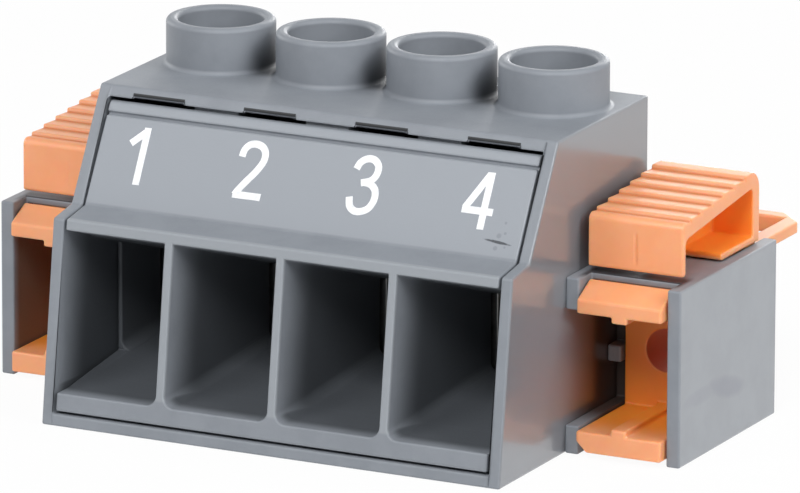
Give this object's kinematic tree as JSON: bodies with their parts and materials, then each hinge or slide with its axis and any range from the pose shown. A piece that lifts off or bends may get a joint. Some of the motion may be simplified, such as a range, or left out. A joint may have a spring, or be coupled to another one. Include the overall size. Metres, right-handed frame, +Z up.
{
  "type": "pluggable screw terminal block",
  "caption": "Grey pluggable screw terminal block with orange sliding flange latches, funnel wire entries, screwdriver chimneys and a sloping numbered face",
  "frame": {"origin": "centre of the base plane under the row of clamp screws", "axes": "+X along the row of poles, towards the right end seen from the wire side; +Y towards the mating side; +Z up, out of the screwdriver chimneys"},
  "size_m": [0.0622, 0.0396, 0.0303],
  "materials": {
    "housing_grey": "fine matte",
    "latch_orange": "satin",
    "screw_steel": "zinc plated",
    "clamp_steel": "zinc plated",
    "tinned_brass": "tin plated"
  },
  "bodies": {
    "block": {"housing": "housing_grey", "front_cover": "housing_grey", "end_flange_left": "housing_grey", "end_flange_right": "housing_grey", "current_bar_1": "tinned_brass", "current_bar_2": "tinned_brass", "current_bar_3": "tinned_brass", "current_bar_4": "tinned_brass", "contact_spring_1": "clamp_steel", "contact_spring_2": "clamp_steel", "contact_spring_3": "clamp_steel", "contact_spring_4": "clamp_steel"},
    "screw_1": {"clamp_screw_1": "screw_steel"},
    "yoke_1": {"clamp_yoke_1": "clamp_steel"},
    "screw_2": {"clamp_screw_2": "screw_steel"},
    "yoke_2": {"clamp_yoke_2": "clamp_steel"},
    "screw_3": {"clamp_screw_3": "screw_steel"},
    "yoke_3": {"clamp_yoke_3": "clamp_steel"},
    "screw_4": {"clamp_screw_4": "screw_steel"},
    "yoke_4": {"clamp_yoke_4": "clamp_steel"},
    "latch_left": {"latch_left": "latch_orange"},
    "latch_right": {"latch_right": "latch_orange"}
  },
  "joints": [
    {"name": "clamp_screw_1_turn", "type": "hinge", "parent": "block", "child": "screw_1", "pos_m": [-0.01524, 0, 0.02], "axis": [0, 0, -1], "range_deg": [0, 2880]},
    {"name": "clamp_yoke_1_lift", "type": "slide", "parent": "block", "child": "yoke_1", "axis": [0, 0, 1], "range_m": [0, 0.0056]},
    {"name": "clamp_screw_2_turn", "type": "hinge", "parent": "block", "child": "screw_2", "pos_m": [-0.00508, 0, 0.02], "axis": [0, 0, -1], "range_deg": [0, 2880]},
    {"name": "clamp_yoke_2_lift", "type": "slide", "parent": "block", "child": "yoke_2", "axis": [0, 0, 1], "range_m": [0, 0.0056]},
    {"name": "clamp_screw_3_turn", "type": "hinge", "parent": "block", "child": "screw_3", "pos_m": [0.00508, 0, 0.02], "axis": [0, 0, -1], "range_deg": [0, 2880]},
    {"name": "clamp_yoke_3_lift", "type": "slide", "parent": "block", "child": "yoke_3", "axis": [0, 0, 1], "range_m": [0, 0.0056]},
    {"name": "clamp_screw_4_turn", "type": "hinge", "parent": "block", "child": "screw_4", "pos_m": [0.01524, 0, 0.02], "axis": [0, 0, -1], "range_deg": [0, 2880]},
    {"name": "clamp_yoke_4_lift", "type": "slide", "parent": "block", "child": "yoke_4", "axis": [0, 0, 1], "range_m": [0, 0.0056]},
    {"name": "latch_left_slide", "type": "slide", "parent": "block", "child": "latch_left", "axis": [0, -1, 0], "range_m": [0, 0.003]},
    {"name": "latch_right_slide", "type": "slide", "parent": "block", "child": "latch_right", "axis": [0, -1, 0], "range_m": [0, 0.003]}
  ],
  "couplings": [
    {"joint": "clamp_screw_1_turn", "follows": "clamp_yoke_1_lift", "rad_per_m": 8976},
    {"joint": "clamp_screw_2_turn", "follows": "clamp_yoke_2_lift", "rad_per_m": 8976},
    {"joint": "clamp_screw_3_turn", "follows": "clamp_yoke_3_lift", "rad_per_m": 8976},
    {"joint": "clamp_screw_4_turn", "follows": "clamp_yoke_4_lift", "rad_per_m": 8976}
  ]
}
